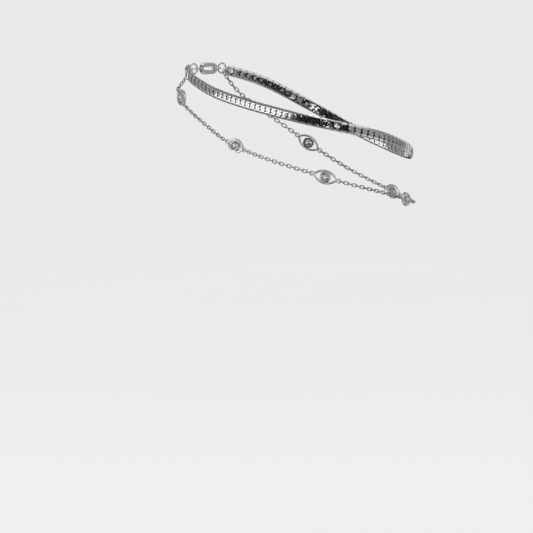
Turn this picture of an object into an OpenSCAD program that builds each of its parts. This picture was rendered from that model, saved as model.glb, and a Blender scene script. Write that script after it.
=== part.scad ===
// Two-strand anklet in its worn form: a flat curb chain above a fine cable chain
// with open eye stations, both held by one clasp at the back.
// Millimetres, Z up. The near side faces -Y, and the clasp lies at the back left.
// The origin is the middle of the opening that both strands go round.

/* [Anklet] */
// Length of the upper loop with its rings and clasp, which sizes both strands
loop_length = 238; // [234:1:244]

/* [Flat curb chain] */
// Width of the band
curb_width = 3.5; // [3.4:0.05:3.6]
// Thickness of the band between its two ground faces
curb_thickness = 1.24; // [1.1:0.02:1.3]
// Thickness of one link's wire
curb_wire = 0.42; // [0.38:0.02:0.44]
// Distance from one link to the next
curb_pitch = 2.38; // [2.36:0.01:2.42]

/* [Fine cable chain] */
// Wire of the cable links
cable_wire = 0.35; // [0.3:0.01:0.36]
// Length of a cable link over all
cable_length = 2.29; // [2.24:0.01:2.32]
// Width of a cable link over all
cable_width = 1.4; // [1.36:0.02:1.5]
// Turn of every second cable link out of the strand's surface
cable_roll = 5; // [0:5:10]

/* [Eye stations] */
// Length of the almond frame from point to point
eye_length = 8.6; // [8.2:0.1:9]
// Height of the almond frame
eye_height = 4.7; // [4.5:0.1:4.9]
// Width of the frame's flat wire
eye_wire = 0.65; // [0.55:0.05:0.7]
// Depth of the frame's flat wire
eye_depth = 0.9; // [0.8:0.1:1.2]
// Width of the round crystal
crystal_width = 2.7; // [2.5:0.1:2.7]

/* [Rings and clasp] */
// Wire of the two jump rings and the catch ring
ring_wire = 0.6; // [0.5:0.05:0.6]
// Mean width of the jump rings
ring_width = 3.4; // [3.2:0.1:3.8]
// Wire of the clasp's nose
clasp_wire = 1.3; // [1.1:0.1:1.4]

/* [Hidden] */
$fn = 32;

// Clear space left between metal that hooks into metal
play = 0.11;
// The tables below were set out for a loop of this length
set_out_length = 238;
size = loop_length / set_out_length;

// Points that the curb chain passes, from the clasp's near side round the front
// to its far side. Columns: x, y, z
curb_way_points = size * [
    [-37.8, 17.0, 13.2],
    [-37.0, 12.0, 12.0],
    [-34.6, 6.6, 10.1],
    [-28.5, -3.0, 6.7],
    [-20.0, -13.0, 4.0],
    [-10.5, -22.5, 1.5],
    [0.5, -30.3, -1.0],
    [12.0, -34.3, -3.4],
    [23.0, -32.2, -5.8],
    [32.0, -23.0, -8.9],
    [37.3, -9.5, -12.2],
    [37.9, 5.0, -14.4],
    [32.8, 17.5, -13.0],
    [23.5, 28.0, -9.0],
    [12.5, 34.5, -3.5],
    [0.5, 37.5, 3.0],
    [-11.5, 37.5, 9.5]
];

// Points that the cable chain passes, in the same order. Columns: x, y, z
cable_way_points = size * [
    [-39.4, 21.2, 9.0],
    [-41.1, 17.5, 6.3],
    [-39.9, 12.6, 3.8],
    [-36.6, 6.4, 0.1],
    [-31.0, -2.0, -4.4],
    [-25.0, -10.5, -9.0],
    [-18.5, -18.5, -12.0],
    [-10.0, -27.0, -15.0],
    [1.0, -33.4, -18.2],
    [12.0, -35.5, -21.5],
    [23.0, -32.0, -24.5],
    [32.5, -23.0, -27.3],
    [38.0, -10.0, -29.5],
    [39.0, 3.5, -30.5],
    [36.0, 15.5, -29.5],
    [29.5, 26.0, -26.5],
    [20.0, 33.5, -22.0],
    [9.0, 38.0, -15.5],
    [-2.5, 39.5, -7.5],
    [-13.5, 38.5, 0.3],
    [-21.0, 36.5, 5.8]
];

// How far the cable chain's outward face leans up. Columns: share of the way, degrees
cable_lean = [[0, 0], [0.07, 22], [0.23, 12], [0.4, 5], [0.55, 0], [1, 0]];

// Clasp: middle of its body, and the direction from its far end to its near end
clasp_at = size * [-30.2, 30.0, 13.8];
clasp_turn = 220;
clasp_bow = 1.25;
clasp_tail_wire = 1.6;
clasp_nose_x = -1.6;
clasp_tail_x = 2.2;
clasp_eye_bow = 0.85;

// Rings between the strands and the clasp
curb_ring_wire = 0.5;
curb_ring_bow = 1.3;
cable_ring_wire = 0.4;
cable_ring_bow = 1.0;
curb_hook_turn_far = 18;
cable_hook_turn_near = 40;
cable_hook_turn_far = 60;

// Curb link: half sizes of its outer and inner ovals, and the powers that square them
curb_stations = 12;
curb_outer = [2.29, curb_width / 2];
curb_inner = [1.27, 0.65];
curb_outer_squareness = 0.9;
curb_inner_squareness = 0.95;
// Its twist, and the bevels of its section as shares of the section's width
curb_twist = 0.46;
curb_twist_gain = 1.5;
curb_inner_bevel = 0.12;
curb_end_bevel = 0.12;
curb_side_bevel = 0.42;
// From the middle of an end link to the wire of the ring that it hooks into
curb_hook = 0.78;
// Share of the curb chain that belongs to its near node
curb_near_share = 0.57;

// Eye station: its tip loops, and the collet that is soldered into the frame
eye_count = 6;
tip_loop_bow = 0.65;
tip_loop_wire = 0.4;
tip_loop_x = eye_length / 2 + 0.45;
eye_reach = tip_loop_x + tip_loop_bow;
solder_lap = 0.2;
collet_width = eye_height - 2 * eye_wire + 2 * solder_lap;
collet_height = 1.5;
collet_seat = 0.55;
collet_ledge = 0.3;
crystal_play = 0.11;
tip_play = 0.2;
links_before_first_eye = 6;
links_between_eyes = 19;

// Round brilliant: its zones as shares of the crystal's width
table_ratio = 0.58;
star_ratio = 0.8;
star_rise = 0.6;
girdle_ratio = 0.03;
crown_ratio = 0.16;
pavilion_ratio = 0.28;
main_ratio = 0.45;
main_drop = 0.58;
// The crystal's lower facets rest just clear of the rim of the collet's ledge
ledge_rim = crystal_width / 2 + crystal_play - collet_ledge;
pavilion_slope = 2 * main_drop * pavilion_ratio / (1 - main_ratio);
rim_play = crystal_play * sqrt(1 + 1 / pow(pavilion_slope, 2));
crystal_lift = collet_seat - collet_height / 2 + girdle_ratio * crystal_width
    + (crystal_width / 2 - ledge_rim + rim_play) * pavilion_slope;

// Spline through the points of a way: interior points are pushed out so that
// the cubic curve passes them, the outer two keep the direction of the ends
function controls(p) = [
    for (i = [0 : len(p) - 1])
        i < 2 || i > len(p) - 3 ? p[i] : p[i] - (p[i - 1] - 2 * p[i] + p[i + 1]) / 6
];
function padded(c) = concat(
    [2 * c[0] - c[1]], c, [2 * c[len(c) - 1] - c[len(c) - 2]]
);
function blend(c, i, t) = (
    c[i] * pow(1 - t, 3)
    + c[i + 1] * (3 * pow(t, 3) - 6 * t * t + 4)
    + c[i + 2] * (-3 * pow(t, 3) + 3 * t * t + 3 * t + 1)
    + c[i + 3] * pow(t, 3)
) / 6;
span_steps = 10;
function trace(p) =
    let (c = padded(controls(p)))
    concat(
        [for (i = [0 : len(c) - 4]) for (k = [0 : span_steps - 1]) blend(c, i, k / span_steps)],
        [p[len(p) - 1]]
    );
function distances(w) = [
    for (i = 0, s = 0; i < len(w); i = i + 1, s = s + (i < len(w) ? norm(w[i] - w[i - 1]) : 0)) s
];
// A way is its running distances paired with each coordinate, for lookup
function way(p) =
    let (w = trace(p), s = distances(w))
    [for (axis = [0 : 2]) [for (i = [0 : len(w) - 1]) [s[i], w[i][axis]]]];
function way_length(w) = w[0][len(w[0]) - 1][0];
function at(w, s) = [lookup(s, w[0]), lookup(s, w[1]), lookup(s, w[2])];
function unit(v) = v / norm(v);
half_span = 0.5;
function along(w, s) = unit(at(w, s + half_span) - at(w, s - half_span));

// A frame is its place, the direction along the strand, the direction up across
// it, and the outward normal of the surface that the strand lies in
function frame(place, t) =
    let (n = unit([t[1], -t[0], 0]))
    [place, t, cross(n, t), n];
function frame_on(w, s) = frame(at(w, s), along(w, s));
function leaned(f, angle) =
    [f[0], f[1], f[2] * cos(angle) - f[3] * sin(angle), f[3] * cos(angle) + f[2] * sin(angle)];
function to_world(f, p) = f[0] + f[1] * p[0] + f[2] * p[1] + f[3] * p[2];

module set_in(f) {
    multmatrix([
        [f[1][0], f[2][0], f[3][0], f[0][0]],
        [f[1][1], f[2][1], f[3][1], f[0][1]],
        [f[1][2], f[2][2], f[3][2], f[0][2]],
        [0, 0, 0, 1]
    ]) children();
}

// Places of the clasp's parts along its own x axis
clasp_frame = frame(clasp_at, [cos(clasp_turn), sin(clasp_turn), 0]);
nose_inner_x = clasp_nose_x - clasp_bow + clasp_wire / 2;
nose_outer_x = nose_inner_x - clasp_wire;
clasp_eye_x = clasp_tail_x + clasp_bow + clasp_tail_wire / 2 + clasp_eye_bow;
near_ring_x = clasp_eye_x + clasp_eye_bow - ring_wire - play + ring_width / 2;
catch_hook_x = nose_inner_x + ring_wire / 2 + play;
far_hook_x = nose_outer_x - ring_wire / 2 - play;
catch_end_x = far_hook_x - ring_wire - play;
catch_bow = (catch_hook_x - catch_end_x) / 2;
far_ring_x = far_hook_x - ring_width / 2;

// Points on the jump rings' wire where the strands' end rings hook in
function ring_point(x, turn) =
    to_world(clasp_frame, [x + ring_width / 2 * cos(turn), ring_width / 2 * sin(turn), 0]);
curb_hook_near = ring_point(near_ring_x, 0);
curb_hook_far = ring_point(far_ring_x, 180 + curb_hook_turn_far);
cable_hook_near = ring_point(near_ring_x, -cable_hook_turn_near);
cable_hook_far = ring_point(far_ring_x, 180 + cable_hook_turn_far);

// The end rings reach from a jump ring's wire to the first or last link
curb_ring_at = curb_ring_bow - (ring_wire + curb_ring_wire) / 2 - play;
cable_ring_at = cable_ring_bow - (ring_wire + cable_ring_wire) / 2 - play;
function onward(hook, next, distance) = hook + distance * unit(next - hook);

// The curb chain runs from the middle of its first link to that of its last
curb_lead = curb_ring_at + curb_ring_bow + curb_hook;
curb_first = curb_way_points[0];
curb_last = curb_way_points[len(curb_way_points) - 1];
curb_way = way(concat(
    [onward(curb_hook_near, curb_first, curb_lead)],
    curb_way_points,
    [onward(curb_hook_far, curb_last, curb_lead)]
));
curb_run = way_length(curb_way);
curb_count = round(curb_run / curb_pitch) + 1;
curb_step = curb_run / (curb_count - 1);
curb_near_count = round(curb_count * curb_near_share);

// The cable chain runs between the wires of its two end rings
cable_first = cable_way_points[0];
cable_last = cable_way_points[len(cable_way_points) - 1];
cable_way = way(concat(
    [onward(cable_hook_near, cable_first, cable_ring_at + cable_ring_bow)],
    cable_way_points,
    [onward(cable_hook_far, cable_last, cable_ring_at + cable_ring_bow)]
));
cable_run = way_length(cable_way);
cable_half = (cable_length - cable_wire) / 2;
cable_inset = cable_half - (cable_wire + tip_loop_wire) / 2 - tip_play;
cable_nominal = 2 * cable_half - cable_wire - play;
gaps_before_last = links_before_first_eye - 1 + (eye_count - 1) * (links_between_eyes - 1);
plain_run = cable_run - 2 * eye_count * eye_reach - 2 * (eye_count + 1) * cable_inset;
last_links = 2 * round((plain_run / cable_nominal - gaps_before_last + 1) / 2);
cable_step = plain_run / (gaps_before_last + last_links - 1);

// Eyes stand at even distances, each straight between two points of the way
stretch_links = concat(
    [links_before_first_eye],
    [for (i = [1 : eye_count - 1]) links_between_eyes],
    [last_links]
);
function eye_s(i) = i * (2 * cable_inset + eye_reach) + (i - 1) * eye_reach
    + cable_step * (links_before_first_eye - 1 + (i - 1) * (links_between_eyes - 1));
function chord(s, reach) = norm(at(cable_way, s + reach) - at(cable_way, s - reach)) / 2;
function arc_reach(s, reach, tries) =
    tries == 0 ? reach : arc_reach(s, reach * eye_reach / chord(s, reach), tries - 1);
function eye_end(i, side) = eye_s(i) + side * arc_reach(eye_s(i), eye_reach, 3);
function cable_frame(place, t, s) =
    leaned(frame(place, t), lookup(s / cable_run, cable_lean));
function cable_frame_on(s) = cable_frame(at(cable_way, s), along(cable_way, s), s);
function eye_frame(i) =
    let (start = at(cable_way, eye_end(i, -1)), end = at(cable_way, eye_end(i, 1)))
    cable_frame((start + end) / 2, unit(end - start), eye_s(i));

// Stretches of cable chain: what each starts and ends at, along the way
function stretch_start(i) = (i == 0 ? 0 : eye_end(i, 1)) + cable_inset;
function stretch_end(i) = (i == eye_count ? cable_run : eye_end(i + 1, -1)) - cable_inset;

// Curb link: stations round a flattened oval, each a six-sided section
function bent(v, power) = sign(v) * pow(abs(v), power);
function held(v, limit) = min(max(v, -limit), limit);
function oval(half, t, power) = [half[0] * bent(cos(t), power), half[1] * bent(sin(t), power)];
function curb_station(t) =
    let (
        inner = oval(curb_inner, t, curb_inner_squareness),
        outer = oval(curb_outer, t, curb_outer_squareness),
        lift = -curb_twist * held(curb_twist_gain * sin(2 * t), 1),
        near = curb_inner_bevel,
        far = 1 - curb_end_bevel * abs(cos(t)) - curb_side_bevel * abs(sin(t)),
        half = curb_wire / 2
    )
    [
        for (q = [[0, 0], [near, half], [far, half], [1, 0], [far, -half], [near, -half]])
            let (p = inner * (1 - q[0]) + outer * q[0])
            [p[0], p[1], held(lift + q[1], curb_thickness / 2)]
    ];
curb_link_points = [
    for (i = [0 : curb_stations - 1]) each curb_station(i * 360 / curb_stations)
];
section_sides = 6;
link_size = curb_stations * section_sides;
curb_link_faces = [
    for (i = [0 : curb_stations - 1]) for (j = [0 : section_sides - 1])
        let (
            a = i * section_sides + j,
            b = i * section_sides + (j + 1) % section_sides,
            next = ((i + 1) % curb_stations) * section_sides,
            c = next + (j + 1) % section_sides,
            d = next + j
        )
        each [[a, c, b], [a, d, c]]
];

module curb_links(first, last) {
    color("silver") polyhedron(
        points = [
            for (k = [first : last])
                let (f = frame_on(curb_way, k * curb_step))
                for (p = curb_link_points) to_world(f, p)
        ],
        faces = [
            for (k = [0 : last - first]) for (face = curb_link_faces)
                [for (v = face) v + k * link_size]
        ],
        convexity = 10
    );
}

// Round ring of wire in the x y plane
module wire_ring(bow, wire) {
    rotate_extrude() translate([bow, 0]) circle(d = wire);
}

// Half ring that bulges towards +x
module half_ring(bow, wire) {
    rotate(-90) rotate_extrude(angle = 180) translate([bow, 0]) circle(d = wire);
}

// Oval link of round wire, long along x
module oval_link(length, width, wire) {
    straight = (length - width) / 2;
    bow = (width - wire) / 2;
    for (side = [0, 180]) rotate(side) translate([straight, 0, 0]) half_ring(bow, wire);
    for (side = [-1, 1])
        translate([-straight, side * bow, 0]) rotate([0, 90, 0]) cylinder(h = 2 * straight, d = wire);
}

// Cable links alternate a quarter turn. The link next to an eye stands on edge,
// so that it passes through the eye's flat tip loop
module cable_stretch(i) {
    count = stretch_links[i];
    start = stretch_start(i);
    step = (stretch_end(i) - start) / (count - 1);
    upright = i == eye_count ? 0 : (count - 1) % 2;
    for (k = [0 : count - 1])
        set_in(cable_frame_on(start + k * step))
            rotate([((k + upright) % 2 == 0 ? 90 : 0) - cable_roll, 0, 0])
                oval_link(cable_length, cable_width, cable_wire);
}

module cable_chain() {
    color("silver") for (i = [0 : eye_count]) cable_stretch(i);
}

// Pointed almond between two equal arcs, drawn in by an inset
module almond(inset) {
    radius = (pow(eye_length, 2) + pow(eye_height, 2)) / (4 * eye_height);
    intersection_for (side = [-1, 1])
        translate([0, side * (radius - eye_height / 2)]) circle(r = radius - inset, $fn = 3 * $fn);
}

// Eye station i: almond frame, tip loops and collet in one soldered piece
module eye_station(i) {
    collet_bore = crystal_width + 2 * crystal_play;
    color("silver") set_in(eye_frame(i)) difference() {
        union() {
            linear_extrude(eye_depth, center = true) difference() {
                almond(0);
                almond(eye_wire);
            }
            cylinder(h = collet_height, d = collet_width, center = true);
            for (side = [-1, 1]) translate([side * tip_loop_x, 0, 0])
                wire_ring(tip_loop_bow, tip_loop_wire);
        }
        translate([0, 0, collet_seat - collet_height / 2]) cylinder(h = collet_height, d = collet_bore);
        cylinder(h = 2 * collet_height, d = collet_bore - 2 * collet_ledge, center = true);
    }
}

// Round brilliant: eight-sided table, stars, kites and girdle facets above,
// eight mains and sixteen girdle facets below, meeting in a point
function circle_points(count, radius, z, turn) = [
    for (i = [0 : count - 1])
        [radius * cos(turn + i * 360 / count), radius * sin(turn + i * 360 / count), z]
];
module brilliant(width) {
    r = width / 2;
    girdle = girdle_ratio * width;
    crown = crown_ratio * width;
    pavilion = pavilion_ratio * width;
    points = concat(
        circle_points(8, table_ratio * r, girdle + crown, 0),
        circle_points(8, star_ratio * r, girdle + star_rise * crown, 22.5),
        circle_points(16, r, girdle, 0),
        circle_points(16, r, -girdle, 0),
        circle_points(8, main_ratio * r, -girdle - main_drop * pavilion, 22.5),
        [[0, 0, -girdle - pavilion]]
    );
    star = 8;
    top = 16;
    low = 32;
    mid = 48;
    culet = 56;
    faces = concat(
        [[for (i = [7 : -1 : 0]) i]],
        [for (i = [0 : 7]) let (n = (i + 1) % 8) [i, n, star + i]],
        [for (i = [0 : 7]) let (b = (i + 7) % 8) each [
            [i, star + i, top + 2 * i], [i, top + 2 * i, star + b],
            [star + i, top + 2 * i + 1, top + 2 * i],
            [star + i, top + (2 * i + 2) % 16, top + 2 * i + 1]
        ]],
        [for (i = [0 : 15]) let (n = (i + 1) % 16) each [
            [top + i, top + n, low + n], [top + i, low + n, low + i]
        ]],
        [for (i = [0 : 7]) let (b = (i + 7) % 8) each [
            [mid + i, low + 2 * i, low + 2 * i + 1],
            [mid + i, low + 2 * i + 1, low + (2 * i + 2) % 16],
            [culet, low + 2 * i, mid + i], [culet, mid + b, low + 2 * i]
        ]]
    );
    polyhedron(points = points, faces = faces);
}

module crystal(i) {
    color("white") set_in(eye_frame(i))
        translate([0, 0, crystal_lift]) brilliant(crystal_width);
}

// Plain closed hook: nose, two legs, tail and the eye that takes the near ring
module clasp() {
    color("silver") set_in(clasp_frame) {
        translate([clasp_nose_x, 0, 0]) rotate(180) half_ring(clasp_bow, clasp_wire);
        translate([clasp_tail_x, 0, 0]) half_ring(clasp_bow, clasp_tail_wire);
        for (side = [-1, 1])
            translate([clasp_nose_x, side * clasp_bow, 0]) rotate([0, 90, 0])
                cylinder(h = clasp_tail_x - clasp_nose_x, d1 = clasp_wire, d2 = clasp_tail_wire);
        translate([clasp_eye_x, 0, 0]) rotate([90, 0, 0]) wire_ring(clasp_eye_bow, ring_wire);
    }
}

module jump_ring(x) {
    color("silver") set_in(clasp_frame) translate([x, 0, 0]) wire_ring(ring_width / 2, ring_wire);
}

module catch_ring() {
    color("silver") set_in(clasp_frame)
        translate([(catch_hook_x + catch_end_x) / 2, 0, 0]) rotate([90, 0, 0])
            wire_ring(catch_bow, ring_wire);
}

// Ring that stands on edge between a jump ring's wire and the strand beyond it
module end_ring(hook, next, distance, bow, wire) {
    color("silver") set_in(frame(onward(hook, next, distance), unit(next - hook)))
        rotate([90, 0, 0]) wire_ring(bow, wire);
}

curb_links(0, curb_near_count - 1);  // curb_chain_near
curb_links(curb_near_count, curb_count - 1);  // curb_chain_far
cable_chain();
eye_station(1);  // eye_1
eye_station(2);  // eye_2
eye_station(3);  // eye_3
eye_station(4);  // eye_4
eye_station(5);  // eye_5
eye_station(6);  // eye_6
crystal(1);  // crystal_1
crystal(2);  // crystal_2
crystal(3);  // crystal_3
crystal(4);  // crystal_4
crystal(5);  // crystal_5
crystal(6);  // crystal_6
clasp();
jump_ring(near_ring_x);  // jump_ring_near
jump_ring(far_ring_x);  // jump_ring_far
catch_ring();
end_ring(curb_hook_near, curb_first, curb_ring_at, curb_ring_bow, curb_ring_wire);  // curb_ring_near
end_ring(curb_hook_far, curb_last, curb_ring_at, curb_ring_bow, curb_ring_wire);  // curb_ring_far
end_ring(cable_hook_near, cable_first, cable_ring_at, cable_ring_bow, cable_ring_wire);  // cable_ring_near
end_ring(cable_hook_far, cable_last, cable_ring_at, cable_ring_bow, cable_ring_wire);  // cable_ring_far
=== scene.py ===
import logging
import math
from dataclasses import dataclass
from enum import Enum

import bpy
import numpy as np
from mathutils import Euler, Matrix, Vector


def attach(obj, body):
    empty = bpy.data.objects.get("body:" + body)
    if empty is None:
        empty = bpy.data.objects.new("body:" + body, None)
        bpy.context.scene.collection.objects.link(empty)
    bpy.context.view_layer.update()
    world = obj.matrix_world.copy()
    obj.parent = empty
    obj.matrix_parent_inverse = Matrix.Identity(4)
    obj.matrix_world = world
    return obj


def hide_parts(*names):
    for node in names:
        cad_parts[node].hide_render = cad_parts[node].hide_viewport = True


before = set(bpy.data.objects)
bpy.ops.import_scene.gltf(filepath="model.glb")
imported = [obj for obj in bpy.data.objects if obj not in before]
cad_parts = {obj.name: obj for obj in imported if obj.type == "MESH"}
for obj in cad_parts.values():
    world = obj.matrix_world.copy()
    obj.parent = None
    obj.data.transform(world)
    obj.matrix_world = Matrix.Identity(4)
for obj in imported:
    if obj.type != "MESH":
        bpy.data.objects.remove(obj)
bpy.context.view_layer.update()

MM = 0.001
WELD = 0.001 * MM
BODY = "root"
RECESS = "recess"
TURN = "turn"
NEVER_ZERO = 0.0001
log = logging.getLogger("anklet")

Array = np.ndarray
Mesh = bpy.types.Mesh
Piece = bpy.types.Object
Material = bpy.types.Material
Socket = bpy.types.NodeSocket
Tree = bpy.types.NodeTree
Pair = tuple[float, float]
Triple = tuple[float, float, float]
Colour = tuple[float, float, float, float]


class Slot(Enum):
    """Material slots of the record, one for each kind of piece."""

    CURB = "flat_chain_metal"
    CABLE = "cable_chain_metal"
    EYE = "eye_metal"
    CLASP = "clasp_metal"
    CRYSTAL = "crystal"


@dataclass(frozen=True)
class Seat:
    """Where one solid of the CAD model sits.

    The rows of axes are its longest, middle and shortest direction, and extents
    are its full sizes along them, in metres.
    """

    place: Array
    axes: Array
    extents: Array

    @property
    def matrix(self) -> Matrix:
        """Matrix that sets a mesh made about the origin on this seat."""
        rotation = Matrix(self.axes.T.tolist()).to_4x4()
        return Matrix.Translation(Vector(self.place.tolist())) @ rotation


def node_triangles(name: str) -> Array:
    """Reads the triangles of a CAD node.

    Args:
        name: The node's name.

    Returns:
        Corners of its triangles, as an array of triangle, corner and axis.
    """
    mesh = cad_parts[name].data
    mesh.calc_loop_triangles()
    corners = np.zeros(len(mesh.loop_triangles) * 3, np.int64)
    mesh.loop_triangles.foreach_get("vertices", corners)
    places = np.zeros(len(mesh.vertices) * 3)
    mesh.vertices.foreach_get("co", places)
    return places.reshape(-1, 3)[corners].reshape(-1, 3, 3)


def split_shells(triangles: Array) -> list[Array]:
    """Splits triangles into the closed shells that they form.

    Args:
        triangles: Corners as node_triangles gives them.

    Returns:
        One array of triangles for each shell.
    """
    cells = np.round(triangles.reshape(-1, 3) / WELD).astype(np.int64)
    cells -= cells.min(axis=0)
    spans = cells.max(axis=0) + 1
    keys = (cells[:, 0] * spans[1] + cells[:, 1]) * spans[2] + cells[:, 2]
    _, index = np.unique(keys, return_inverse=True)
    index = index.reshape(-1, 3)
    label = np.arange(index.max() + 1)
    while True:
        lowest = label[index].min(axis=1)
        joined = label.copy()
        np.minimum.at(joined, index.ravel(), np.repeat(lowest, 3))
        joined = joined[joined]
        if (joined == label).all():
            break
        label = joined
    owner = label[index[:, 0]]
    return [triangles[owner == one] for one in np.unique(owner)]


def seat_of(triangles: Array) -> Seat:
    """Finds a closed solid's middle and main directions from its volume.

    Args:
        triangles: The triangles of one closed solid.

    Returns:
        Its seat, with the shortest direction facing away from the opening's
        middle line and the middle direction facing up.
    """
    near = triangles.reshape(-1, 3).mean(axis=0)
    # The solid is summed up from the tetrahedra between this point and its triangles.
    a, b, c = (triangles - near).transpose(1, 0, 2)
    volumes = np.einsum("ij,ij->i", a, np.cross(b, c)) / 6
    whole = volumes.sum()
    middle = (volumes[:, None] * (a + b + c)).sum(axis=0) / 4 / whole
    moment = sum(np.einsum("i,ij,ik->jk", volumes, v, v) for v in (a, b, c, a + b + c))
    spread = moment / 20 / whole - np.outer(middle, middle)
    _, vectors = np.linalg.eigh(spread)
    place = near + middle
    normal, across = vectors[:, 0], vectors[:, 1]
    normal = normal * (1 if normal[:2] @ place[:2] >= 0 else -1)
    across = across * (1 if across[2] >= 0 else -1)
    axes = np.array([np.cross(across, normal), across, normal])
    extents = np.ptp(triangles.reshape(-1, 3) @ axes.T, axis=0)
    return Seat(place, axes, extents)


def grid_mesh(name: str, rings: Array, recess: Array | None = None) -> Mesh:
    """Joins closed rings of points into a closed tube that bends back on itself.

    Args:
        name: The mesh's name.
        rings: Points in metres, as an array of ring, point and axis.
        recess: Painted shade of each point, for how far it lies in a hollow, 0 to 1, ring by ring.

    Returns:
        A smooth mesh whose faces point outwards.
    """
    count, sides = rings.shape[:2]
    ring, side = np.meshgrid(np.arange(count), np.arange(sides), indexing="ij")
    ahead, beside = (ring + 1) % count, (side + 1) % sides
    corners = (ring, side), (ring, beside), (ahead, beside), (ahead, side)
    quads = np.stack([row * sides + column for row, column in corners], axis=-1).reshape(-1, 4)
    places = rings.reshape(-1, 3)
    a, b, c, d = (places[quads[:, k]] for k in range(4))
    doubled = np.einsum("ij,ij->i", a, np.cross(b, c) + np.cross(c, d)).sum()
    if doubled < 0:
        quads = quads[:, ::-1]
    mesh = bpy.data.meshes.new(name)
    mesh.from_pydata(places.tolist(), [], quads.tolist())
    mesh.shade_smooth()
    if recess is not None:
        mesh.attributes.new(RECESS, "FLOAT", "POINT").data.foreach_set("value", recess.ravel())
    mesh.update()
    return mesh


def add_piece(name: str, data: bpy.types.ID) -> Piece:
    """Links a mesh, a light or a camera into the scene as an object at the origin.

    Args:
        name: The object's name.
        data: What it shows. A mesh has its place in its points.

    Returns:
        The new object.
    """
    piece = bpy.data.objects.new(name, data)
    bpy.context.scene.collection.objects.link(piece)
    return piece


def plain_mesh(source: Piece, name: str) -> Mesh:
    """Turns an object with live modifiers into a plain mesh and drops the object.

    Args:
        source: The object whose evaluated shape is taken.
        name: The mesh's name.

    Returns:
        The evaluated mesh.
    """
    graph = bpy.context.evaluated_depsgraph_get()
    mesh = bpy.data.meshes.new_from_object(source.evaluated_get(graph), depsgraph=graph)
    mesh.name = name
    bpy.data.objects.remove(source)
    return mesh


def stand_in(piece: Piece, slot: Slot, *nodes: str) -> None:
    """Hangs a finished piece on the body, hides the CAD nodes that it replaces and logs its triangles.

    Args:
        piece: The finished piece.
        slot: Not used.
        *nodes: The CAD nodes that it replaces.
    """
    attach(piece, BODY)
    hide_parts(*nodes)
    faces = sum(len(polygon.vertices) - 2 for polygon in piece.data.polygons)
    log.info("%s: %d triangles, for %s", piece.name, faces, ", ".join(nodes))


class Graph:
    """A node tree that is filled one call at a time."""

    def __init__(self, tree: Tree) -> None:
        """Starts on an empty tree."""
        self.tree = tree
        tree.nodes.clear()

    def add(self, kind: str, links: dict | None = None, **settings: object) -> bpy.types.Node:
        """Adds a node, sets its properties, then sets or links its sockets.

        Args:
            kind: The node's type name.
            links: A value or a socket for each input, by its name or number.
            **settings: Properties of the node itself.

        Returns:
            The new node.
        """
        node = self.tree.nodes.new(kind)
        for key, value in settings.items():
            setattr(node, key, value)
        for key, value in (links or {}).items():
            if isinstance(value, Socket):
                self.tree.links.new(value, node.inputs[key])
            else:
                node.inputs[key].default_value = value
        return node

    def first(self, kind: str, links: dict | None = None, **settings: object) -> Socket:
        """Adds a node, as add does, and gives its first output."""
        return self.add(kind, links, **settings).outputs[0]

    def math(self, operation: str, *values: object) -> Socket:
        """Adds a Math node.

        Args:
            operation: What it does, such as MULTIPLY.
            *values: Numbers or sockets for its inputs.

        Returns:
            Its result.
        """
        return self.first("ShaderNodeMath", dict(enumerate(values)), operation=operation)

    def ramp(self, value: Socket, span: Pair, results: Pair) -> Socket:
        """Carries a value smoothly from one range to another.

        Args:
            value: The socket to read.
            span: The value at the range's start and at its end.
            results: What it becomes there.

        Returns:
            The result, held between both results.
        """
        links = dict(enumerate((value, *span, *results)))
        return self.first("ShaderNodeMapRange", links, interpolation_type="SMOOTHSTEP")

    def mix(self, share: object, first: object, second: object, colour: bool = False) -> Socket:
        """Mixes two numbers or two colours.

        The node's inputs share their names, so they go by number.

        Args:
            share: The second one's share, from 0 to 1.
            first: A value or a socket.
            second: The other one.
            colour: Whether they are colours.

        Returns:
            The mixture.
        """
        kind, at, out = ("RGBA", 6, 2) if colour else ("FLOAT", 2, 0)
        node = self.add("ShaderNodeMix", {0: share, at: first, at + 1: second}, data_type=kind)
        return node.outputs[out]

    def noise(self, place: Socket, scale: float, detail: float) -> Socket:
        """Adds a noise texture.

        Args:
            place: The socket of the places where it is read.
            scale: Its repeats per metre.
            detail: How many finer layers it has.

        Returns:
            Its value.
        """
        return self.first("ShaderNodeTexNoise", {"Vector": place, "Scale": scale, "Detail": detail})

    def surface(self, links: dict) -> None:
        """Ends a material's tree with a Principled shader that has these inputs."""
        shader = self.first("ShaderNodeBsdfPrincipled", links)
        self.add("ShaderNodeOutputMaterial", {"Surface": shader})


def open_material(name: str) -> tuple[Material, Graph, Socket]:
    """Starts a material.

    Args:
        name: The material's name.

    Returns:
        The material, its graph, and the socket of the places on the object.
    """
    made = bpy.data.materials.new(name)
    made.use_nodes = True
    graph = Graph(made.node_tree)
    return made, graph, graph.add("ShaderNodeTexCoord").outputs["Object"]


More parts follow.
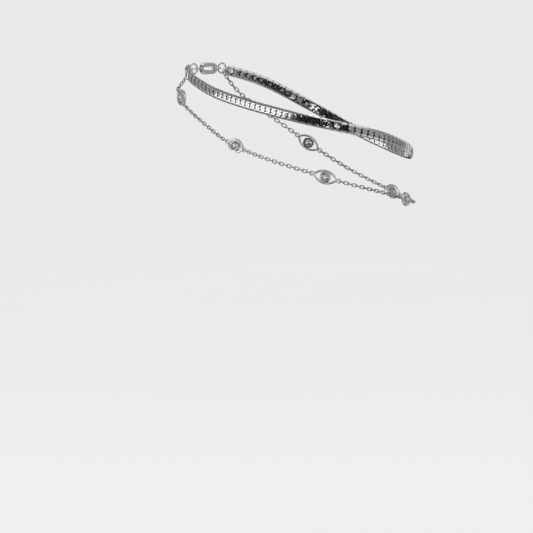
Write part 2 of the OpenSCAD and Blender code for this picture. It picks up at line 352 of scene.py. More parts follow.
@dataclass(frozen=True)
class SilverFinish:
    """Polished silver-tone metal with painted shade in its hollows, where it is a little rougher too.

    Scales are repeats per metre, and depths are in metres. The painted shade is a
    dark colour that stands in for the shade in the hollows. It covers at most
    painted_shade_share of a hollow and at least painted_shade_least of that, and
    makes the metal up to hollow_roughening rougher. Cloud is slow noise that varies
    the painted shade, and the bare metal's roughness within rough.
    """

    name: str
    metal: Colour = (0.82, 0.815, 0.805, 1.0)
    # Painted shade: a dark colour laid into the hollows in place of the shade there, and how much of
    # each hollow it covers.
    painted_shade: Colour = (0.12, 0.115, 0.11, 1.0)
    painted_shade_share: float = 0.85
    painted_shade_least: float = 0.45
    hollow_roughening: float = 0.25
    rough: Pair = (0.09, 0.2)
    cloud_scale: float = 260.0
    cloud_range: Pair = (0.3, 0.7)
    hairline_scale: float = 5200.0
    hairline_turn: Triple = (0.5, 0.3, 0.9)
    hairline_squeeze: Triple = (1.0, 0.08, 1.0)
    hairline_depth: float = 0.004 * MM
    dent_scale: float = 900.0
    dent_depth: float = 0.02 * MM

    def material(self) -> Material:
        """Builds the material, with painted shade in the hollows, gloss, hairlines and dents from
        noise.

        Returns:
            The material.
        """
        made, graph, place = open_material(self.name)
        cloud = graph.noise(place, self.cloud_scale, detail=5.0)
        squeezed = graph.first("ShaderNodeMapping", {
            "Vector": place, "Rotation": self.hairline_turn, "Scale": self.hairline_squeeze,
        })
        hairline = graph.noise(squeezed, self.hairline_scale, detail=2.0)
        dent = graph.noise(place, self.dent_scale, detail=1.0)
        # Painted shade: the dark colour lies where the mesh marks a hollow, in patches from the cloud,
        # in place of the shade that falls there.
        recess = graph.add("ShaderNodeAttribute", attribute_name=RECESS).outputs["Fac"]
        shade_patches = graph.ramp(cloud, self.cloud_range, (self.painted_shade_least, 1.0))
        painted_shade = graph.math("MULTIPLY", graph.math("MULTIPLY", recess, shade_patches), self.painted_shade_share)
        bare = graph.ramp(cloud, self.cloud_range, self.rough)
        scratched = graph.first(
            "ShaderNodeBump", {"Height": hairline, "Distance": self.hairline_depth}
        )
        dented = graph.first("ShaderNodeBump", {
            "Height": dent, "Distance": self.dent_depth, "Normal": scratched,
        })
        graph.surface({
            # The base colour carries the painted shade of the hollows.
            "Base Color": graph.mix(painted_shade, self.metal, self.painted_shade, colour=True),
            "Metallic": 1.0,
            "Roughness": graph.math("ADD", bare, graph.math("MULTIPLY", painted_shade, self.hollow_roughening)),
            "Normal": dented,
        })
        return made


@dataclass(frozen=True)
class CrystalFinish:
    """Clear cut crystal with faint polishing marks on its facets."""

    name: str = "cut_crystal"
    tint: Colour = (0.94, 0.945, 0.95, 1.0)
    refraction: float = 1.72
    marks_scale: float = 1800.0
    marks_range: Pair = (0.35, 0.75)
    haze: float = 0.035

    def material(self) -> Material:
        """Builds the material, whose roughness follows fine noise.

        Returns:
            The material.
        """
        made, graph, place = open_material(self.name)
        marks = graph.noise(place, self.marks_scale, detail=3.0)
        graph.surface({
            "Base Color": self.tint,
            "Roughness": graph.ramp(marks, self.marks_range, (0.0, self.haze)),
            "IOR": self.refraction,
            "Transmission Weight": 1.0,
        })
        return made


@dataclass(frozen=True)
class BackdropFinish:
    """Matt pale paint of the studio floor."""

    name: str = "pale_paint"
    paint: Colour = (0.86, 0.86, 0.86, 1.0)
    shade: Colour = (0.84, 0.84, 0.84, 1.0)
    mottle_scale: float = 3.0
    rough: float = 0.9

    def material(self) -> Material:
        """Builds the material, two close tones mixed by slow noise.

        Returns:
            The material.
        """
        made, graph, place = open_material(self.name)
        mottle = graph.noise(place, self.mottle_scale, detail=2.0)
        graph.surface({
            "Base Color": graph.mix(mottle, self.paint, self.shade, colour=True),
            "Roughness": self.rough,
            "Specular IOR Level": 0.0,
        })
        return made


def open_tree(name: str, inputs: dict[str, str]) -> tuple[Graph, bpy.types.Node]:
    """Starts a Geometry Nodes tree.

    Args:
        name: The tree's name.
        inputs: The socket type of each named input after the geometry.

    Returns:
        The graph, and its Group Input node.
    """
    tree = bpy.data.node_groups.new(name, "GeometryNodeTree")
    tree.interface.new_socket("Geometry", in_out="INPUT", socket_type="NodeSocketGeometry")
    for label, kind in inputs.items():
        tree.interface.new_socket(label, in_out="INPUT", socket_type=kind)
    tree.interface.new_socket("Geometry", in_out="OUTPUT", socket_type="NodeSocketGeometry")
    graph = Graph(tree)
    return graph, graph.add("NodeGroupInput")


def close_row(graph: Graph, given: bpy.types.Node, link: Socket) -> None:
    """Ends a tree that sets one link on every point, turned by the point's attribute.

    Args:
        graph: The tree's graph.
        given: Its Group Input node, with an input named Finish.
        link: The link's geometry.
    """
    turn = graph.first("GeometryNodeInputNamedAttribute", {"Name": TURN}, data_type="FLOAT_VECTOR")
    row = graph.first("GeometryNodeInstanceOnPoints", {
        "Points": given.outputs["Geometry"], "Instance": link, "Rotation": turn,
    })
    real = graph.first("GeometryNodeRealizeInstances", {"Geometry": row})
    dressed = graph.first("GeometryNodeSetMaterial", {
        "Geometry": real, "Material": given.outputs["Finish"],
    })
    graph.add("NodeGroupOutput", {"Geometry": dressed})


def seat_points(name: str, seats: list[Seat], play_deg: float, seed: int) -> Piece:
    """Makes a mesh of bare points, one for each link's seat.

    Args:
        name: The name of the mesh and its object.
        seats: Where the links sit.
        play_deg: How far a link may lie turned from its seat, in degrees.
        seed: Start of the random draws for that play.

    Returns:
        An object whose points carry their turns.
    """
    rng = np.random.default_rng(seed)
    turns = []
    for seat in seats:
        loose = Euler(np.radians(rng.uniform(-play_deg, play_deg, 3)).tolist())
        turned = seat.matrix.to_3x3() @ loose.to_matrix()
        turns.extend(turned.to_euler())
    mesh = bpy.data.meshes.new(name)
    mesh.from_pydata([seat.place.tolist() for seat in seats], [], [])
    mesh.attributes.new(TURN, "FLOAT_VECTOR", "POINT").data.foreach_set("vector", turns)
    return add_piece(name, mesh)


def grown_mesh(points: Piece, tree: Tree, values: dict, name: str) -> Mesh:
    """Runs a Geometry Nodes tree on an object of points and drops the object.

    Args:
        points: The object that seat_points gives.
        tree: The tree.
        values: A value for each of its inputs, by the input's name.
        name: The mesh's name.

    Returns:
        The mesh that grows on the points.
    """
    modifier = points.modifiers.new("links", "NODES")
    modifier.node_group = tree
    for item in tree.interface.items_tree:
        if item.item_type == "SOCKET" and item.in_out == "INPUT" and item.name in values:
            modifier[item.identifier] = values[item.name]
    return plain_mesh(points, name)


@dataclass
class CurbChain:
    """The flat curb chain: twisted links ground flat on both faces of the band.

    Sizes are in millimetres. A link lies in two layers: its upper left and lower
    right corners are in the upper one, and its ends are as thick as the band. It
    is stretched beyond the CAD link, which narrows the seams, and bent along its
    length with the band. Stations are the places round a quarter of it: y on the
    outer and the inner outline at its end, and x along its side. Pits are the small
    hollows that stay open where the links meet. Each runs down a wall by a share of
    the wall's height, which is its reach. Recess is where painted shade lies, a dark
    colour that stands in for the shade in the hollows: 1 in a pit, 0 on a face, and
    else recess_inside on the inner outline and less by recess_fall on the outer
    one, within recess_least and 1.
    """

    nodes: tuple[str, ...] = ("curb_chain_near", "curb_chain_far")
    # Its painted shade is darker and covers more of the pits than the other metals'.
    finish: SilverFinish = SilverFinish(
        "flat_chain_silver", painted_shade=(0.06, 0.058, 0.055, 1.0), painted_shade_share=0.95,
        rough=(0.04, 0.1), hairline_depth=0.002 * MM, dent_depth=0.006 * MM,
    )
    inner_half: Pair = (1.24, 0.5)
    inner_corner: float = 0.05
    outer_corner: float = 0.5
    stretch: float = 0.2
    bend_radius: float = 37.0
    pit_place: float = 0.45
    pit_depth: float = 0.4
    pit_half_width: float = 0.34
    thick_pit_reach: float = 0.34
    thin_pit_reach: float = 0.7
    plain_reach: float = 0.15
    recess_inside: float = 1.1
    recess_fall: float = 1.6
    recess_least: float = 0.1
    end_stations: tuple[Pair, ...] = (
        (0.16, 0.16), (0.3, 0.3), (0.41, 0.41), (0.46, 0.43), (0.62, 0.44),
    )
    thick_half_width: float = 0.44
    corner_steps: int = 3
    side_stations: tuple[float, ...] = (0.8, 0.38, 0.19, 0.03)
    face_half_width: float = 0.98
    bevel_slopes: tuple[float, ...] = (0.4, 0.85)
    last_shares: tuple[float, ...] = (0.82, 0.9)
    edge: float = 0.025
    crease_deg: float = 21.0
    play_deg: float = 1.1
    seed: int = 3

    def pit(self, away: Array) -> Array:
        """Works out how deep a pit is at a distance from its middle."""
        return self.pit_depth * np.exp(-(away / self.pit_half_width) ** 2)

    def way_round(self, half_length: float, half_width: float) -> list[Array]:
        """Pairs the points of the inner and the outer outline, station by station.

        Args:
            half_length: Half length of the link.
            half_width: Its half width.

        Returns:
            The inner and the outer outline, then both again with the pits cut in.
        """
        outer_ends, inner_ends = np.array(self.end_stations).T
        turn = np.linspace(0, math.pi / 2, self.corner_steps + 1)
        sides = np.array(self.side_stations)
        inner, outer = (
            np.concatenate([
                np.stack([np.full_like(ends, end), ends], axis=-1),
                np.stack([end - bow * (1 - np.cos(turn)), side - bow * (1 - np.sin(turn))], axis=-1),
                np.stack([sides, np.full_like(sides, side)], axis=-1),
            ])
            for (end, side), bow, ends in (
                (self.inner_half, self.inner_corner, inner_ends),
                ((half_length, half_width), self.outer_corner, outer_ends),
            )
        )
        inner_pits, outer_pits = inner.copy(), outer.copy()
        inner_pits[-len(sides):, 1] += self.pit(sides)
        outer_pits[:len(outer_ends), 0] -= self.pit(outer_ends - self.pit_place)
        flip_x, flip_y = np.array([-1, 1]), np.array([1, -1])
        return [
            np.concatenate([part, part[::-1] * flip_x, part * flip_x * flip_y, part[::-1] * flip_y])
            for part in (inner, outer, inner_pits, outer_pits)
        ]

    def wall(self, share: Array, high: Array, base: Array, front: Array, rear: Array) -> list[tuple]:
        """Lists a wall's points upwards, with its middle left out of the pits.

        Args:
            share: Where it stands, from 0 at the inner outline to 1 at the outer.
            high: Height of its upper edge, station by station.
            base: Height of its lower edge.
            front: Whether each station is in the upper layer.
            rear: Whether it is in the lower layer.

        Returns:
            The share and the height of each point, and whether pits cut into it.
        """
        under_top, over_base = (
            np.where(here, np.where(there, self.thick_pit_reach, self.thin_pit_reach), self.plain_reach)
            for here, there in ((front, rear), (rear, front))
        )
        span, never = high - base, np.zeros_like(front)
        return [
            (share, base, rear), (share, base + over_base * span, never),
            (share, high - under_top * span, never), (share, high, front),
        ]

    def section(self, inner: Array, outer: Array, width: float, level: float) -> list[tuple]:
        """Lists the points of the link's section, station by station.

        They go up the inner wall, out over the upper face and its bevels, down the
        outer wall and back under the lower face.

        Args:
            inner: The inner outline.
            outer: The outer outline.
            width: The link's width.
            level: Half its thickness.

        Returns:
            The points, as wall gives them.
        """
        inside, rim = np.abs(inner[:, 1]), np.abs(outer[:, 1])
        thick = rim < self.thick_half_width
        front = thick | (outer[:, 0] * outer[:, 1] < 0)
        rear = thick | ~front
        top, low = np.where(front, level, 0.0), np.where(rear, -level, 0.0)
        brinks = np.linspace(self.face_half_width, width / 2, len(self.bevel_slopes) + 1)
        drops = np.concatenate([[0], np.cumsum(np.diff(brinks) * self.bevel_slopes)])
        soft = self.edge / np.linalg.norm(outer - inner, axis=1)
        reach = np.maximum(rim - inside, self.edge)
        shares = [soft]
        shares += [
            np.minimum((brink - inside) / reach, last)
            for brink, last in zip(brinks, self.last_shares)
        ]
        shares.append(1 - soft)
        ceilings = [
            level - np.interp(inside + (rim - inside) * share, brinks, drops) for share in shares
        ]
        brow = level - np.interp(rim, brinks, drops) - self.edge
        inner_edges = top - self.edge, low + self.edge
        outer_edges = np.minimum(inner_edges[0], brow), np.maximum(inner_edges[1], -brow)
        faces = list(zip(shares, ceilings))
        points = self.wall(np.zeros_like(top), *inner_edges, front, rear)
        points += [(share, np.minimum(top, ceiling), front) for share, ceiling in faces]
        points += self.wall(np.ones_like(top), *outer_edges, front, rear)[::-1]
        points += [(share, np.maximum(low, -ceiling), rear) for share, ceiling in faces[::-1]]
        return points

    def link_mesh(self, seat: Seat) -> Mesh:
        """Builds one link about the origin.

        Args:
            seat: The seat of a link, for its length, width and thickness.

        Returns:
            The link's mesh, with its recess attribute.
        """
        length, width, thickness = seat.extents / MM
        level = thickness / 2
        inner, outer, inner_pits, outer_pits = self.way_round(
            (length + self.stretch) / 2, width / 2
        )
        columns = zip(*self.section(inner, outer, width, level))
        share, rise, cut = (np.stack(column, axis=1) for column in columns)
        out = share[..., None]
        plain = inner[:, None] * (1 - out) + outer[:, None] * out
        pitted = inner_pits[:, None] * (1 - out) + outer_pits[:, None] * out
        flat = np.where(cut[..., None], pitted, plain)
        bent = rise - flat[..., 0] ** 2 / (2 * self.bend_radius)
        # Painted shade: the dark colour of the hollows, full in the pits, more on the inner walls, none
        # on the ground faces.
        hollow = np.clip(self.recess_inside - self.recess_fall * share, self.recess_least, 1)
        in_pit = np.abs(plain - pitted).max(axis=-1) > self.edge
        on_face = np.abs(rise) > level - self.edge / 2
        recess = np.where(on_face, 0.0, np.where(in_pit, 1.0, hollow))
        return grid_mesh("curb_link", np.concatenate([flat, bent[..., None]], axis=-1) * MM, recess)

    def tree(self) -> Tree:
        """Builds the tree that sets one given link on every point.

        Returns:
            The tree, with inputs for the link and its finish.
        """
        graph, given = open_tree(
            "row_of_curb_links", {"Link": "NodeSocketObject", "Finish": "NodeSocketMaterial"}
        )
        link = graph.add("GeometryNodeObjectInfo", {"Object": given.outputs["Link"]})
        close_row(graph, given, link.outputs["Geometry"])
        return graph.tree

    def build(self) -> None:
        """Builds both stretches of the chain and hides the CAD nodes that they replace."""
        tree, material, link = self.tree(), self.finish.material(), None
        for node in self.nodes:
            seats = [seat_of(shell) for shell in split_shells(node_triangles(node))]
            link = link or add_piece("curb_link", self.link_mesh(seats[0]))
            points = seat_points(node + "_seats", seats, self.play_deg, self.seed)
            values = {"Link": link, "Finish": material}
            mesh = grown_mesh(points, tree, values, node + "_links")
            mesh.set_sharp_from_angle(angle=math.radians(self.crease_deg))
            stand_in(add_piece(node + "_links", mesh), Slot.CURB, node)
        bpy.data.objects.remove(link)


@dataclass
class CableChain:
    """The fine cable chain: oval links of round wire, each a quarter turn on.

    The hollow's painted shade, a dark colour that stands in for the shade where
    the wire faces into the link, runs over hollow_range, where 1 is wire that faces
    away from the link's middle and -1 is wire that faces it. Bend points are a
    multiple of 4, so that none lies where the link's two halves are drawn apart.
    """

    node: str = "cable_chain"
    finish: SilverFinish = SilverFinish(
        "cable_silver", metal=(0.62, 0.62, 0.615, 1.0), rough=(0.12, 0.25)
    )
    bend_points: int = 12
    wire_sides: int = 7
    hollow_range: Pair = (-0.8, 0.5)
    play_deg: float = 3.0
    seed: int = 5

    def tree(self) -> Tree:
        """Builds the tree that bends a link from its sizes and sets it on every point.

        Returns:
            The tree, with inputs for the link's sizes, its fineness and its finish.
        """
        graph, given = open_tree("row_of_cable_links", {
            "Length": "NodeSocketFloat", "Width": "NodeSocketFloat", "Wire": "NodeSocketFloat",
            "Bend points": "NodeSocketInt", "Wire sides": "NodeSocketInt",
            "Finish": "NodeSocketMaterial",
        })
        length, width, wire = (given.outputs[size] for size in ("Length", "Width", "Wire"))
        bow = graph.math("DIVIDE", graph.math("SUBTRACT", width, wire), 2.0)
        straight = graph.math("DIVIDE", graph.math("SUBTRACT", length, width), 2.0)
        circle = graph.first("GeometryNodeCurvePrimitiveCircle", {
            "Resolution": given.outputs["Bend points"], "Radius": bow,
        })
        half_step = graph.math("DIVIDE", math.pi, given.outputs["Bend points"])
        spin = graph.first("ShaderNodeCombineXYZ", {"Z": half_step})
        turned = graph.first("GeometryNodeTransform", {"Geometry": circle, "Rotation": spin})
        place = graph.first("GeometryNodeInputPosition")
        side = graph.math("SIGN", graph.first("ShaderNodeSeparateXYZ", {0: place}))
        drawn = graph.first("ShaderNodeCombineXYZ", {"X": graph.math("MULTIPLY", side, straight)})
        oval = graph.first("GeometryNodeSetPosition", {"Geometry": turned, "Offset": drawn})
        profile = graph.first("GeometryNodeCurvePrimitiveCircle", {
            "Resolution": given.outputs["Wire sides"], "Radius": graph.math("DIVIDE", wire, 2.0),
        })
        tube = graph.first("GeometryNodeCurveToMesh", {"Curve": oval, "Profile Curve": profile})
        smooth = graph.first("GeometryNodeSetShadeSmooth", {0: tube})
        # Painted shade: wire that faces the link's middle gets the dark colour of the hollows.
        outward = graph.add("ShaderNodeVectorMath", {
            0: graph.first("ShaderNodeVectorMath", {0: place}, operation="NORMALIZE"),
            1: graph.first("GeometryNodeInputNormal"),
        }, operation="DOT_PRODUCT").outputs["Value"]
        stored = graph.first("GeometryNodeStoreNamedAttribute", {
            "Geometry": smooth, "Name": RECESS,
            "Value": graph.ramp(outward, self.hollow_range, (1.0, 0.0)),
        }, data_type="FLOAT", domain="POINT")
        close_row(graph, given, stored)
        return graph.tree

    def build(self) -> None:
        """Builds the chain and hides the CAD node that it replaces."""
        seats = [seat_of(shell) for shell in split_shells(node_triangles(self.node))]
        length, width, wire = (float(size) for size in seats[0].extents)
        points = seat_points("cable_seats", seats, self.play_deg, self.seed)
        mesh = grown_mesh(points, self.tree(), {
            "Length": length, "Width": width, "Wire": wire, "Bend points": self.bend_points,
            "Wire sides": self.wire_sides, "Finish": self.finish.material(),
        }, "cable_links")
        stand_in(add_piece("cable_links", mesh), Slot.CABLE, self.node)


@dataclass(frozen=True)
class WireRing:
    """A round ring of wire in its own x y plane, in any unit of length.

    Bow is the radius to the wire's middle. Stations are the sections round the
    ring, and sides the points round the wire. A closing joint is sunk by
    joint_depth, a share of the wire's radius, over joint_turn radians to each
    side, and has sections of its own at joint_steps of that turn.
    """

    bow: float
    wire: float
    stations: int
    sides: int
    joint_depth: float = 0.0
    joint_turn: float = 0.05
    joint_steps: tuple[float, ...] = (-1.0, -0.5, -0.2, 0.2, 0.5, 1.0)

    def points(self) -> Array:
        """Works out the points of the ring.

        Returns:
            Points as an array of section, point and axis.
        """
        turn = np.linspace(-math.pi, math.pi, self.stations, endpoint=False)
        if self.joint_depth:
            turn = np.sort(np.concatenate([turn, self.joint_turn * np.array(self.joint_steps)]))
        sunk = self.joint_depth * np.exp(-(2 * turn / self.joint_turn) ** 2)
        radius = self.wire / 2 * (1 - sunk)
        side = np.linspace(0, math.tau, self.sides, endpoint=False)
        reach = self.bow + radius[:, None] * np.cos(side)
        x, y = reach * np.cos(turn)[:, None], reach * np.sin(turn)[:, None]
        return np.stack([x, y, radius[:, None] * np.sin(side)], axis=-1)


@dataclass
class EyeStation:
    """One eye of the lower strand: almond frame, collet and two tip loops, soldered.

    Sizes are in millimetres and follow the CAD eye.
    """

    number: int
    frame_length: float = 8.6
    frame_height: float = 4.7
    frame_wire: float = 0.65
    frame_depth: float = 0.9
    frame_edge: float = 0.15
    collet_width: float = 3.8
    collet_height: float = 1.5
    bore_width: float = 2.92
    ledge: float = 0.3
    seat_height: float = 0.55
    rim_round: float = 0.16
    rim_shoulder: float = 0.3
    loop_place: float = 4.75
    loop: WireRing = WireRing(bow=0.65, wire=0.4, stations=32, sides=12)
    arc_points: int = 33
    collet_sides: int = 64
    crease_deg: float = 32.0

    def outline(self, radius: float, centre: float, half_turn: float) -> Array:
        """Follows an almond's upper arc from tip to tip, and its mirror image back.

        Args:
            radius: The arc's radius.
            centre: How far the arc's centre lies below the almond's middle.
            half_turn: Half the arc's angle, in radians.

        Returns:
            The points of the outline, each once.
        """
        turn = np.linspace(-1, 1, self.arc_points) * half_turn
        upper = np.stack([radius * np.sin(turn), radius * np.cos(turn) - centre], axis=-1)
        return np.concatenate([upper, (upper * np.array([1, -1]))[-2:0:-1]])

    def almond(self) -> Mesh:
        """Builds the almond frame between two equal arcs, with softened edges.

        Returns:
            The frame's mesh.
        """
        radius = (self.frame_length ** 2 + self.frame_height ** 2) / (4 * self.frame_height)
        centre = radius - self.frame_height / 2
        inner_radius = radius - self.frame_wire
        outer = self.outline(radius, centre, math.asin(self.frame_length / 2 / radius))
        inner = self.outline(inner_radius, centre, math.acos(centre / inner_radius))
        half = self.frame_depth / 2
        rounding = np.array([self.frame_edge / self.frame_wire, self.frame_edge])
        corners = {(0, -half): (1, 1), (1, -half): (-1, 1), (1, half): (-1, -1), (0, half): (1, -1)}
        section = []
        for corner, inward in corners.items():
            middle = np.array(corner) + rounding * inward
            outward = math.atan2(-inward[1], -inward[0])
            turns = (outward - math.pi / 4, outward, outward + math.pi / 4)
            section.extend(middle + rounding * (math.cos(turn), math.sin(turn)) for turn in turns)
        share, height = np.array(section).T
        out = share[:, None]
        flat = inner[:, None] * (1 - out) + outer[:, None] * out
        rise = np.broadcast_to(height[:, None], flat.shape[:2] + (1,))
        return grid_mesh("almond", np.concatenate([flat, rise], axis=-1) * MM)

    def collet(self) -> Mesh:
        """Turns the collet that holds the crystal, with a rolled rim.

        Returns:
            The collet's mesh.
        """
        outer, bore = self.collet_width / 2, self.bore_width / 2
        top, seat = self.collet_height / 2, self.seat_height - self.collet_height / 2
        roll, hole = self.rim_round, bore - self.ledge
        shoulder = self.rim_shoulder * roll
        profile = np.array([
            [hole, -top + roll / 2], [hole + roll / 2, -top], [outer - roll, -top],
            [outer, -top + roll], [outer, top - roll], [outer - shoulder, top - shoulder],
            [outer - roll, top], [bore + roll, top], [bore + shoulder, top - shoulder],
            [bore, top - roll], [bore, seat], [hole, seat],
        ])
        turn = np.linspace(0, math.tau, self.collet_sides, endpoint=False)[:, None]
        reach, height = profile.T
        rise = np.broadcast_to(height, (self.collet_sides, len(profile)))
        points = np.stack([reach * np.cos(turn), reach * np.sin(turn), rise], axis=-1)
        return grid_mesh("collet", points * MM)

    def tip_loop(self, side: int) -> Mesh:
        """Builds the small loop at one tip.

        Args:
            side: 1 for the loop along the strand, -1 for the one behind.

        Returns:
            The loop's mesh.
        """
        points = self.loop.points() + [side * self.loop_place, 0, 0]
        return grid_mesh("tip_loop", points * MM)

    def soldered(self) -> Mesh:
        """Joins the frame, collet and loops into one closed body about the origin.

        Returns:
            The body's mesh.
        """
        base = add_piece("eye_body", self.almond())
        parts = self.collet(), self.tip_loop(1), self.tip_loop(-1)
        tools = [add_piece("part", part) for part in parts]
        for tool in tools:
            cut = base.modifiers.new("solder", "BOOLEAN")
            cut.operation, cut.solver, cut.object = "UNION", "EXACT", tool
        mesh = plain_mesh(base, "eye_body")
        for tool in tools:
            bpy.data.objects.remove(tool)
        mesh.shade_smooth()
        mesh.set_sharp_from_angle(angle=math.radians(self.crease_deg))
        return mesh

    def build(self, body: Mesh, material: Material) -> None:
        """Sets a copy of the soldered body on this eye's seat.

        Args:
            body: The mesh that soldered gives.
            material: The eye's metal.
        """
        node = f"eye_{self.number}"
        mesh = body.copy()
        mesh.transform(seat_of(node_triangles(node)).matrix)
        mesh.materials.append(material)
        stand_in(add_piece(f"eye_frame_{self.number}", mesh), Slot.EYE, node)


@dataclass
class RingSet:
    """Jump rings, the catch ring and the strands' end rings, with closed joints."""

    nodes: tuple[str, ...] = (
        "jump_ring_near", "jump_ring_far", "catch_ring", "curb_ring_near", "curb_ring_far",
        "cable_ring_near", "cable_ring_far",
    )
    stations: int = 48
    sides: int = 14
    joint_depth: float = 0.3
    joint_side: Triple = (0.3, 0.2, -1.0)

    def build(self, material: Material) -> None:
        """Builds every ring on its CAD solid, with its joint on the low side.

        Args:
            material: The rings' metal.
        """
        for node in self.nodes:
            seat = seat_of(node_triangles(node))
            normal = seat.axes[2]
            side = np.array(self.joint_side)
            low = side - normal * (normal @ side)
            low /= np.linalg.norm(low)
            axes = np.array([low, np.cross(normal, low), normal])
            wire = seat.extents[2]
            bow = (seat.extents[0] - wire) / 2
            ring = WireRing(bow, wire, self.stations, self.sides, self.joint_depth)
            mesh = grid_mesh(node + "_wire", ring.points())
            mesh.transform(Seat(seat.place, axes, seat.extents).matrix)
            mesh.materials.append(material)
            stand_in(add_piece(node + "_wire", mesh), Slot.CLASP, node)


@dataclass
class Clasp:
    """The plain closed hook, with its joints flowed together and its edges eased.

    The cell is the grain of the remeshed body, in metres.
    """

    node: str = "clasp"
    cell: float = 0.085 * MM
    easing: int = 6

    def build(self, material: Material) -> None:
        """Remeshes a copy of the CAD clasp into one smooth casting.

        Args:
            material: The clasp's metal.
        """
        copy = add_piece("casting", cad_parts[self.node].data.copy())
        weld = copy.modifiers.new("weld", "WELD")
        weld.merge_threshold = WELD
        remesh = copy.modifiers.new("remesh", "REMESH")
        remesh.mode, remesh.voxel_size = "VOXEL", self.cell
        ease = copy.modifiers.new("ease", "SMOOTH")
        ease.iterations = self.easing
        mesh = plain_mesh(copy, "clasp_body")
        mesh.shade_smooth()
        mesh.materials.clear()
        mesh.materials.append(material)
        stand_in(add_piece("clasp_body", mesh), Slot.CLASP, self.node)


@dataclass
class Anklet:
    """The whole jewel: two strands, six eyes with their crystals, rings and clasp."""

    eye_count: int = 6
    eye_finish: SilverFinish = SilverFinish("eye_silver", rough=(0.07, 0.15))
    clasp_finish: SilverFinish = SilverFinish("clasp_silver", rough=(0.1, 0.18))
    crystal_finish: CrystalFinish = CrystalFinish()

    def build(self) -> None:
        """Builds the sub-assemblies in order."""
        CurbChain().build()
        CableChain().build()
        eyes = [EyeStation(number) for number in range(1, self.eye_count + 1)]
        body = eyes[0].soldered()
        metal = self.eye_finish.material()
        for eye in eyes:
            eye.build(body, metal)
        self.dress_crystals()
        metal = self.clasp_finish.material()
        RingSet().build(metal)
        Clasp().build(metal)

    def dress_crystals(self) -> None:
        """Gives the CAD crystals their finish. Their facets stay as cut."""
        material = self.crystal_finish.material()
        for number in range(1, self.eye_count + 1):
            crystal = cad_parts[f"crystal_{number}"]
            crystal.data.materials.clear()
            crystal.data.materials.append(material)
            log.info("%s: CAD facets kept, dressed as crystal", crystal.name)


@dataclass(frozen=True, kw_only=True)
class Card:
    """A soft-edged card of light or shade that stands far off round the jewel.

    Turn is its azimuth in degrees from the camera's side towards +X, tilt its
    height above the horizon, and half its half sizes along both, in degrees. Its
    tone fades out beyond them over softness, in degrees too.
    """

    half: Pair
    tone: float
    turn: float = 0.0
    tilt: float = 0.0
    softness: float = 8.0

    def cover(self, graph: Graph, ray: tuple[Socket, ...]) -> Socket:
        """Works out how much of this card a ray meets.

        Args:
            graph: The world's graph.
            ray: Its direction along X and Y, the length of both together, and its
                height above the horizon in degrees.

        Returns:
            The card's share in what the ray sees, from 0 to 1.
        """
        x, y, flat, tilt = ray
        turn = math.radians(self.turn)
        facing = graph.math("ADD", graph.math("MULTIPLY", x, math.sin(turn)),
                            graph.math("MULTIPLY", y, -math.cos(turn)))
        cosine = graph.math("DIVIDE", facing, graph.math("MAXIMUM", flat, NEVER_ZERO))
        bounded = graph.math("MINIMUM", graph.math("MAXIMUM", cosine, -1.0), 1.0)
        away = graph.math("DEGREES", graph.math("ARCCOSINE", bounded))
        rise = graph.math("ABSOLUTE", graph.math("SUBTRACT", tilt, self.tilt))
        return graph.math("MULTIPLY", *(
            graph.ramp(off, (half, half + self.softness), (1.0, 0.0))
            for off, half in zip((away, rise), self.half)
        ))


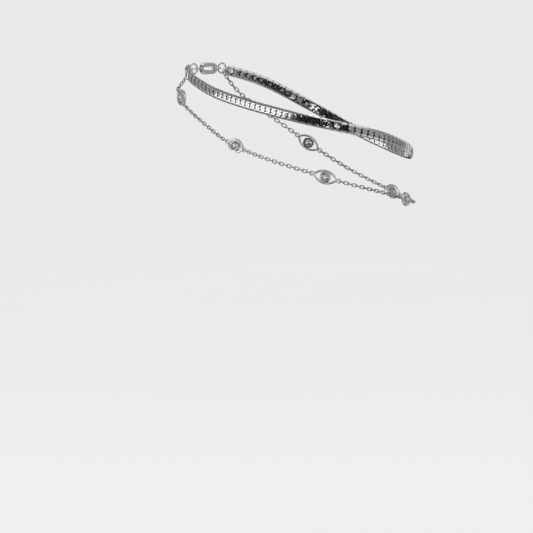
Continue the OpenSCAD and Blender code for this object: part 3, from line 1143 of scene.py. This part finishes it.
@dataclass
class Studio:
    """Pale floor and backdrop, soft light, the reflected cards and the camera.

    Sizes are in metres, the sensor's in millimetres. The view's middle is where the
    photograph's middle lies. Pale is the even light that the camera sees and that
    matt surfaces get, and room is what shows between the cards.
    """

    picture: int = 533
    metres_a_pixel: float = 0.338 * MM
    view_middle: Pair = (-10.65 * MM, -52.27 * MM)
    camera_tilt_deg: float = 3.0
    camera_distance: float = 3.0
    camera_reach: float = 20.0
    sensor: float = 36.0
    floor_height: float = -0.15
    floor_radius: float = 3.0
    floor_sides: int = 96
    sweep_radius: float = 0.7
    sweep_steps: int = 12
    wall_height: float = 2.6
    lamp_place: Triple = (-0.2, -0.1, 1.1)
    lamp_size: float = 0.6
    lamp_watts: float = 1.2
    pale: float = 0.96
    room: float = 0.36
    cards: tuple[Card, ...] = (
        # Rings, caps and patches above and below, for the bevels and the round wire.
        Card(tilt=62, half=(180, 22), tone=0.26),
        Card(tilt=-66, half=(180, 22), tone=0.24),
        Card(tilt=90, half=(180, 22), tone=0.75),
        Card(tilt=-90, half=(180, 20), tone=0.5),
        Card(turn=70, tilt=62, half=(48, 18), tone=0.8, softness=6),
        Card(turn=25, tilt=-44, half=(75, 8), tone=0.8, softness=5),
        # Stretches of the band's face: grey, black with bright glints, and white with a
        # dark patch below. The face mirrors a card where it is turned half as far.
        Card(turn=62, half=(36, 26), tone=0.34),
        Card(turn=-21.5, tilt=1, half=(36.5, 50), tone=0.015, softness=6),
        Card(turn=-10, tilt=12, half=(36, 7), tone=0.8, softness=3),
        Card(turn=-24, tilt=-2, half=(1.8, 14), tone=1.2, softness=2),
        Card(turn=-7, tilt=-2, half=(1.0, 14), tone=0.9, softness=2),
        Card(turn=-118, tilt=-32, half=(34, 12), tone=0.2, softness=5),
        Card(turn=-84, half=(16, 18), tone=1.25, softness=5),
        # Beside and behind the jewel, for both ends of the band and the stones.
        Card(turn=118, half=(14, 30), tone=0.27, softness=6),
        Card(turn=150, tilt=2, half=(7, 26), tone=0.7, softness=6),
        Card(turn=184, tilt=6, half=(18, 24), tone=0.03, softness=5),
        Card(turn=173, tilt=2, half=(2.5, 24), tone=0.8, softness=3),
        Card(turn=180, tilt=-3, half=(3, 6), tone=0.35, softness=3),
        Card(turn=-150, tilt=2, half=(6, 8), tone=0.9, softness=6),
    )

    def backdrop(self) -> None:
        """Builds the floor, which sweeps up into a wall all the way round."""
        sides, near, sweep = self.floor_sides, self.floor_radius, self.sweep_radius
        bends = np.linspace(0, math.pi / 2, self.sweep_steps + 1)
        profile = [
            (near / 2, 0.0),
            *((near + sweep * math.sin(bend), sweep * (1 - math.cos(bend))) for bend in bends),
            (near + sweep, self.wall_height),
        ]
        points = [(0.0, 0.0, self.floor_height)]
        for radius, height in profile:
            for side in range(sides):
                turn = math.tau * side / sides
                x, y = radius * math.cos(turn), radius * math.sin(turn)
                points.append((x, y, height + self.floor_height))
        faces = [(0, 1 + side, 1 + (side + 1) % sides) for side in range(sides)]
        for low in range(1, 1 + (len(profile) - 1) * sides, sides):
            for side in range(sides):
                high, ahead = low + sides, (side + 1) % sides
                faces.append((low + side, high + side, high + ahead, low + ahead))
        mesh = bpy.data.meshes.new("studio_floor")
        mesh.from_pydata(points, [], faces)
        mesh.shade_smooth()
        mesh.materials.append(BackdropFinish().material())
        floor = add_piece("studio_floor", mesh)
        floor.visible_glossy = floor.visible_transmission = False
        floor.visible_diffuse = floor.visible_shadow = False

    def world(self) -> None:
        """Builds the surroundings: even pale light, and the cards in reflections."""
        world = bpy.data.worlds.new("studio_light")
        bpy.context.scene.world = world
        world.use_nodes = True
        world.cycles.sampling_method = "NONE"
        graph = Graph(world.node_tree)
        ray = graph.add("ShaderNodeTexCoord").outputs["Generated"]
        x, y, z = graph.add("ShaderNodeSeparateXYZ", {0: ray}).outputs
        flat = graph.math("SQRT", graph.math(
            "ADD", graph.math("MULTIPLY", x, x), graph.math("MULTIPLY", y, y)
        ))
        tilt = graph.math("DEGREES", graph.math("ARCTAN2", z, flat))
        tone = self.room
        for card in self.cards:
            tone = graph.mix(card.cover(graph, (x, y, flat, tilt)), tone, card.tone)
        path = graph.add("ShaderNodeLightPath")
        even = graph.math("MAXIMUM", path.outputs["Is Camera Ray"], path.outputs["Is Diffuse Ray"])
        light = graph.mix(even, tone, self.pale)
        sky = graph.first("ShaderNodeBackground", {"Color": (1, 1, 1, 1), "Strength": light})
        graph.add("ShaderNodeOutputWorld", {"Surface": sky})

    def lamp(self) -> None:
        """Hangs a square soft light that faces the jewel."""
        data = bpy.data.lights.new("key_light", "AREA")
        data.size, data.energy = self.lamp_size, self.lamp_watts
        light = add_piece("key_light", data)
        light.location = self.lamp_place
        light.rotation_euler = (-Vector(self.lamp_place)).to_track_quat("-Z", "Y").to_euler()

    def camera(self) -> None:
        """Aims a long lens as the photograph was taken."""
        data = bpy.data.cameras.new("camera")
        data.sensor_width = self.sensor
        data.lens = self.sensor * self.camera_distance / (self.picture * self.metres_a_pixel)
        data.clip_end = self.camera_reach
        camera = add_piece("camera", data)
        tilt = math.radians(self.camera_tilt_deg)
        back = Vector((0.0, -math.cos(tilt), math.sin(tilt)))
        aim = Vector((self.view_middle[0], 0.0, self.view_middle[1]))
        camera.location = aim + back * self.camera_distance
        camera.rotation_euler = (-back).to_track_quat("-Z", "Y").to_euler()
        bpy.context.scene.camera = camera

    def build(self) -> None:
        """Builds the studio."""
        bpy.context.scene.view_settings.view_transform = "Standard"
        self.camera()
        self.backdrop()
        self.world()
        self.lamp()
        log.info("studio: camera, floor, light and %d cards", len(self.cards))


def main() -> None:
    """Builds the studio and the anklet."""
    logging.basicConfig(level=logging.INFO, format="%(name)s: %(message)s")
    Studio().build()
    Anklet().build()


if __name__ == "__main__":
    main()
